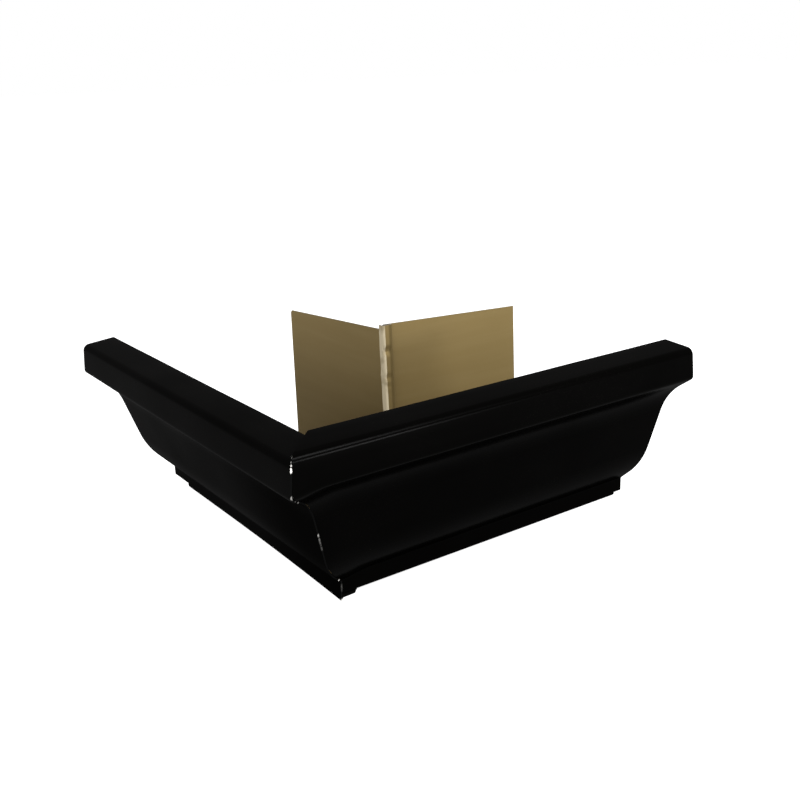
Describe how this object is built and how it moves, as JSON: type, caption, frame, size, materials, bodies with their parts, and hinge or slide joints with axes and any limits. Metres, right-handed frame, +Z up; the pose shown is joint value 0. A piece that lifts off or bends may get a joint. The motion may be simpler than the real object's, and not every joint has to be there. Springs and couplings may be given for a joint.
{
  "type": "gutter external angle",
  "caption": "Moulded eaves gutter outside corner: mitre-cut halves of folded sheet with an ogee front, joined by a folded lock seam, black outside and beige inside.",
  "frame": {"origin": "centre of the base of the part's outline, on the surface that it stands on", "axes": "+Z up; the right half runs along +X and the left half along +Y, away from the outer corner"},
  "size_m": [0.2182, 0.2258, 0.0931],
  "materials": {
    "coated_sheet": "satin",
    "inside_coat": "satin",
    "cut_edge": "satin"
  },
  "bodies": {
    "root": {"left_half": "coated_sheet", "right_half": "coated_sheet"}
  },
  "joints": []
}
